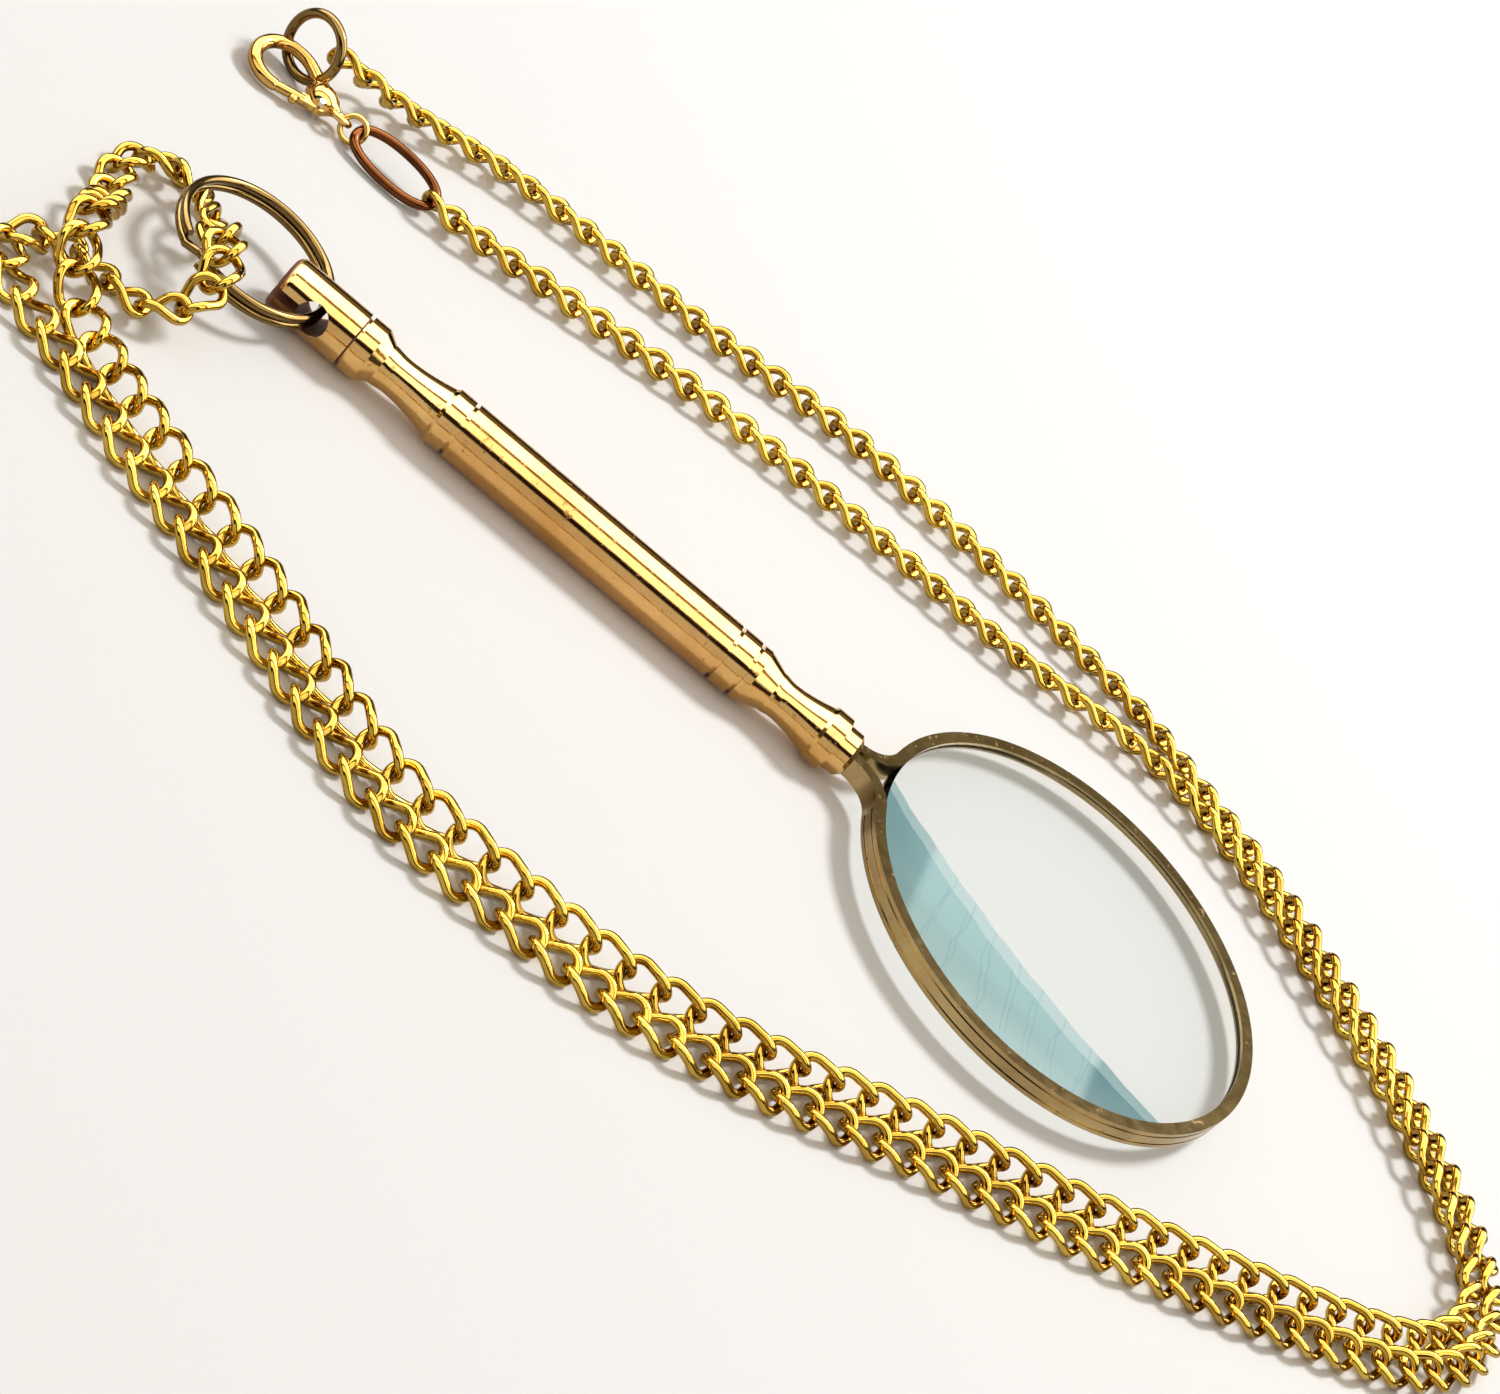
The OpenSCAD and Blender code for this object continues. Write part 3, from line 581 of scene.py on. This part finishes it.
HEADING = math.radians(176)
OVAL_HALF_L, OVAL_HALF_W, OVAL_WIRE = 4.15, 1.75, 0.85
OVAL_MID = OVAL_HALF_L - ((OVAL_WIRE + 0.54) / 2 + 0.04 - 0.35)
OVAL_ROLL = math.radians(-28)


def oval_line(half_l, half_w, steps=72):
    """Ellipse a little fuller than a true one."""
    out = []
    for k in range(steps):
        a = 2 * math.pi * k / steps
        c, d = math.cos(a), math.sin(a)
        x = half_l * math.copysign(abs(c) ** 0.94, c)
        y = half_w * math.copysign(abs(d) ** 0.86, d)
        out.append((x, y, 0.0))
    return out


def beyond(points, x, roll):
    """Points along the clasp's heading, x beyond the chain's last hinge, turned about that heading."""
    m = (Matrix.Translation(Vector(CLASP_HALF[-1])) @ Matrix.Rotation(HEADING, 4, "Z")
         @ Matrix.Translation((x, 0, 0)) @ Matrix.Rotation(roll, 4, "X"))
    return [tuple(m @ Vector(p)) for p in points]


LAST_Z = 1.39271
CLASP_HALF[-1][2] = LAST_Z
OVAL_PATH = beyond(oval_line(OVAL_HALF_L, OVAL_HALF_W), OVAL_MID, OVAL_ROLL)
closed_tube("oval_link_wire", OVAL_PATH, OVAL_WIRE, 16, BROWN, "red_brown_metal", ROOT, "oval_link")

END_RING_R, END_RING_WIRE = 2.75, 0.9
END_RING_C = (-14.35, 29.0, 3.25)
END_RING_AZ = math.radians(62)
END_RING_LEAN = math.radians(8)


def ring_line(centre, r, azimuth, lean, steps=64):
    n = (math.cos(azimuth), math.sin(azimuth))
    out = []
    for k in range(steps):
        a = 2 * math.pi * k / steps
        along, up = r * math.cos(a), r * math.sin(a)
        out.append((centre[0] - n[1] * along + n[0] * up * math.sin(lean),
                    centre[1] + n[0] * along + n[1] * up * math.sin(lean), centre[2] + up * math.cos(lean)))
    return out


def ring_tube(name, centre, r, azimuth, lean, wire, sides, mat, slot, *replaced):
    line = np.array(ring_line((0, 0, 0), r, azimuth, lean))
    v, f = tube_template(line, wire, sides)
    return mesh_piece(name, v + np.array(centre), f, mat, slot, ROOT, *replaced)


ring_tube("end_ring_wire", END_RING_C, END_RING_R, END_RING_AZ, END_RING_LEAN, END_RING_WIRE, 16, RING,
          "antique_gold", "end_ring")


HOOK_MID = 15.7596 + 0.25
CLASP_TILT = math.radians(14)
HOOK_R = 2.4
BODY_OUT = 4.6
EYE_OUT = BODY_OUT + 1.7


def clasp_frame():
    return (Matrix.Translation(Vector(CLASP_HALF[-1])) @ Matrix.Rotation(HEADING, 4, "Z")
            @ Matrix.Translation((HOOK_MID, 0, 0)) @ Matrix.Rotation(math.pi, 4, "Z")
            @ Matrix.Rotation(CLASP_TILT, 4, "X"))


def open_tube(line, radii, sides):
    """A wire of changing thickness along an open line, with rounded ends."""
    p = np.array(line, float)
    r = np.array(radii, float)
    t = np.gradient(p, axis=0)
    t /= np.linalg.norm(t, axis=1)[:, None]
    up = np.array([0, 0, 1.0])
    verts, faces = [], []
    ang = np.linspace(0, 2 * np.pi, sides, endpoint=False)
    head, tail = t[0] * r[0], t[-1] * r[-1]
    rows = [(p[0] - head * 0.7, t[0], r[0] * 0.1), (p[0] - head * 0.45, t[0], r[0] * 0.7)]
    rows += [(p[i], t[i], r[i]) for i in range(len(p))]
    rows += [(p[-1] + tail * 0.45, t[-1], r[-1] * 0.7), (p[-1] + tail * 0.7, t[-1], r[-1] * 0.1)]
    for c, d, rr in rows:
        a = np.cross(d, up)
        a /= np.linalg.norm(a)
        b = np.cross(a, d)
        verts.append(c + rr * (np.cos(ang)[:, None] * a + np.sin(ang)[:, None] * b))
    n = len(rows)
    for i in range(n - 1):
        for k in range(sides):
            m = (k + 1) % sides
            faces.append((i * sides + k, i * sides + m, (i + 1) * sides + m, (i + 1) * sides + k))
    faces.append(tuple(range(sides))[::-1])
    faces.append(tuple((n - 1) * sides + k for k in range(sides)))
    return np.concatenate(verts), faces


def joined(parts):
    verts, faces, base = [], [], 0
    for v, f in parts:
        verts.append(np.array(v))
        faces.extend([tuple(k + base for k in face) for face in f])
        base += len(v)
    return np.concatenate(verts), faces


def clasp_casting():
    """Hook, far bar, slim body and eye of the clasp, drawn in the clasp's own frame."""
    hook = [(HOOK_R * math.cos(a), HOOK_R * math.sin(a), 0.0)
            for a in np.radians(np.linspace(289, 92, 40))]
    hook_t = [0.54 + 0.10 * math.sin(math.pi * i / 39) for i in range(40)]
    bar = [(0.3, 2.42, 0), (0.9, 2.38, 0), (1.5, 2.22, 0), (2.2, 1.86, 0), (3.0, 1.38, 0), (3.8, 0.98, 0),
           (4.6, 0.68, 0), (5.2, 0.5, 0)]
    bar_t = [0.55, 0.55, 0.56, 0.58, 0.62, 0.68, 0.72, 0.6]
    body = [(2.9 + 0.15 * i, 0.10, 0) for i in range(20)]
    body_t = [0.48, 0.72, 0.90, 1.03, 1.13, 1.20, 1.24, 1.27, 1.28, 1.28, 1.27, 1.24, 1.20, 1.13, 1.05, 0.94,
              0.80, 0.66, 0.56, 0.50]
    eye = tube_template(np.array([(0.85 * math.cos(a), 0.85 * math.sin(a), 0.0)
                                  for a in np.linspace(0, 2 * np.pi, 40, endpoint=False)]), 0.62, 14)
    turn = Matrix.Rotation(-math.radians(25) - CLASP_TILT, 3, "X")
    eye_v = np.array([tuple(turn @ Vector(p)) for p in eye[0]]) + [EYE_OUT, 0, 0]
    v, f = joined([open_tube(hook + bar, hook_t + bar_t, 18), open_tube(body, body_t, 28), (eye_v, eye[1])])
    m = clasp_frame()
    v = np.array([tuple(m @ Vector(p)) for p in v])
    mesh_piece("clasp_casting", v, f, CLASP, "gold", ROOT, "clasp_body")


clasp_casting()


# CAD nodes' finish
FINISH = {
    "rim_band": RIM, "lens": GLASS, "neck_wedge": BRASS, "collar": GOLD, "front_baluster": GOLD,
    "barrel_band": GOLD, "barrel_tube": BARREL, "core_rod": BRASS, "rear_baluster": GOLD, "end_cap": CAP,
    "split_ring": RING, "end_ring": RING, "oval_link": BROWN, "clasp_eye_ring": CLASP, "clasp_body": CLASP,
    "clasp_lever": CLASP, "clasp_pin": STEEL, "clasp_spring": STEEL, "chain_at_ring": CHAIN,
    "chain_to_clasp": CHAIN, "chain_to_end_ring": CHAIN,
}
for name, mat in FINISH.items():
    o = node_object(name)
    if not o.material_slots:
        o.data.materials.append(mat)
    for s in o.material_slots:
        s.material = mat


# Stage
def add_floor():
    me = bpy.data.meshes.new("floor")
    w = 6.0
    me.from_pydata([(-w, -w, 0), (w, -w, 0), (w, w, 0), (-w, w, 0)], [], [(0, 1, 2, 3)])
    o = bpy.data.objects.new("floor", me)
    SCENE.collection.objects.link(o)
    o.location.z = -0.00002
    mat, nt, bsdf = new_material("floor")
    bsdf.inputs["Base Color"].default_value = (0.93, 0.925, 0.915, 1)
    bsdf.inputs["Roughness"].default_value = 0.9
    bsdf.inputs["Specular IOR Level"].default_value = 0.1
    me.materials.append(mat)


def add_world():
    """Plain light on dull surfaces, bright panels and dark walls in mirrored rays, white behind."""
    world = bpy.data.worlds.new("studio")
    SCENE.world = world
    world.use_nodes = True
    nt = world.node_tree
    nt.nodes.clear()
    out = nt.nodes.new("ShaderNodeOutputWorld")
    coord = nt.nodes.new("ShaderNodeTexCoord")
    sep = nt.nodes.new("ShaderNodeSeparateXYZ")
    nt.links.new(coord.outputs["Generated"], sep.inputs[0])
    span = nt.nodes.new("ShaderNodeMapRange")
    span.inputs["From Min"].default_value = -1
    span.inputs["From Max"].default_value = 1
    nt.links.new(sep.outputs["Y"], span.inputs["Value"])
    room = ramp(nt, span.outputs["Result"], [
        (0.00, (0.20, 0.15, 0.10)), (0.05, (0.20, 0.15, 0.10)), (0.07, (0.02, 0.015, 0.01)),
        (0.15, (0.02, 0.015, 0.01)), (0.18, (3.2, 3.1, 2.9)), (0.37, (3.2, 3.1, 2.9)),
        (0.40, (0.45, 0.36, 0.20)), (0.47, (0.45, 0.36, 0.20)), (0.50, (6.2, 6.2, 6.2)),
        (0.84, (6.2, 6.2, 6.2)), (0.88, (0.22, 0.19, 0.12)), (1.00, (0.22, 0.19, 0.12))])
    panels = nt.nodes.new("ShaderNodeBackground")
    walls = ramp(nt, sep.outputs["Z"], [(0.0, 0.02), (0.24, 0.03), (0.40, 1.0)])
    near = ramp(nt, span.outputs["Result"], [(0.0, 0.8), (0.058, 0.8), (0.075, 0.0)])
    dimmed = mix(nt, 1.0, room, walls, blend="MULTIPLY")
    nt.links.new(mix(nt, 1.0, dimmed, near, blend="LIGHTEN"), panels.inputs["Color"])
    plain = nt.nodes.new("ShaderNodeBackground")
    plain.inputs["Color"].default_value = (1, 0.95, 0.88, 1)
    plain.inputs["Strength"].default_value = 0.56
    seen = nt.nodes.new("ShaderNodeBackground")
    seen.inputs["Color"].default_value = (1, 1, 1, 1)
    seen.inputs["Strength"].default_value = 0.95
    path = nt.nodes.new("ShaderNodeLightPath")
    mirrored = nt.nodes.new("ShaderNodeMixShader")
    nt.links.new(path.outputs["Is Glossy Ray"], mirrored.inputs[0])
    nt.links.new(plain.outputs[0], mirrored.inputs[1])
    nt.links.new(panels.outputs[0], mirrored.inputs[2])
    m = nt.nodes.new("ShaderNodeMixShader")
    either = nt.nodes.new("ShaderNodeMath")
    either.operation = "MAXIMUM"
    nt.links.new(path.outputs["Is Camera Ray"], either.inputs[0])
    nt.links.new(path.outputs["Is Transmission Ray"], either.inputs[1])
    nt.links.new(either.outputs[0], m.inputs[0])
    nt.links.new(mirrored.outputs[0], m.inputs[1])
    nt.links.new(seen.outputs[0], m.inputs[2])
    nt.links.new(m.outputs[0], out.inputs["Surface"])


def add_lamp(name, place, size, watts, colour):
    data = bpy.data.lights.new(name, "AREA")
    data.shape = "DISK"
    data.size = size
    data.energy = watts
    data.color = colour
    o = bpy.data.objects.new(name, data)
    SCENE.collection.objects.link(o)
    o.location = place
    o.rotation_euler = (Vector((0, 0, 0)) - Vector(place)).to_track_quat("-Z", "Y").to_euler()
    return o


add_floor()
add_world()
add_lamp("key", (0.30, 0.42, 0.72), 0.22, 4.7, (0.98, 0.99, 1.0))
SCENE.view_settings.view_transform = "Standard"
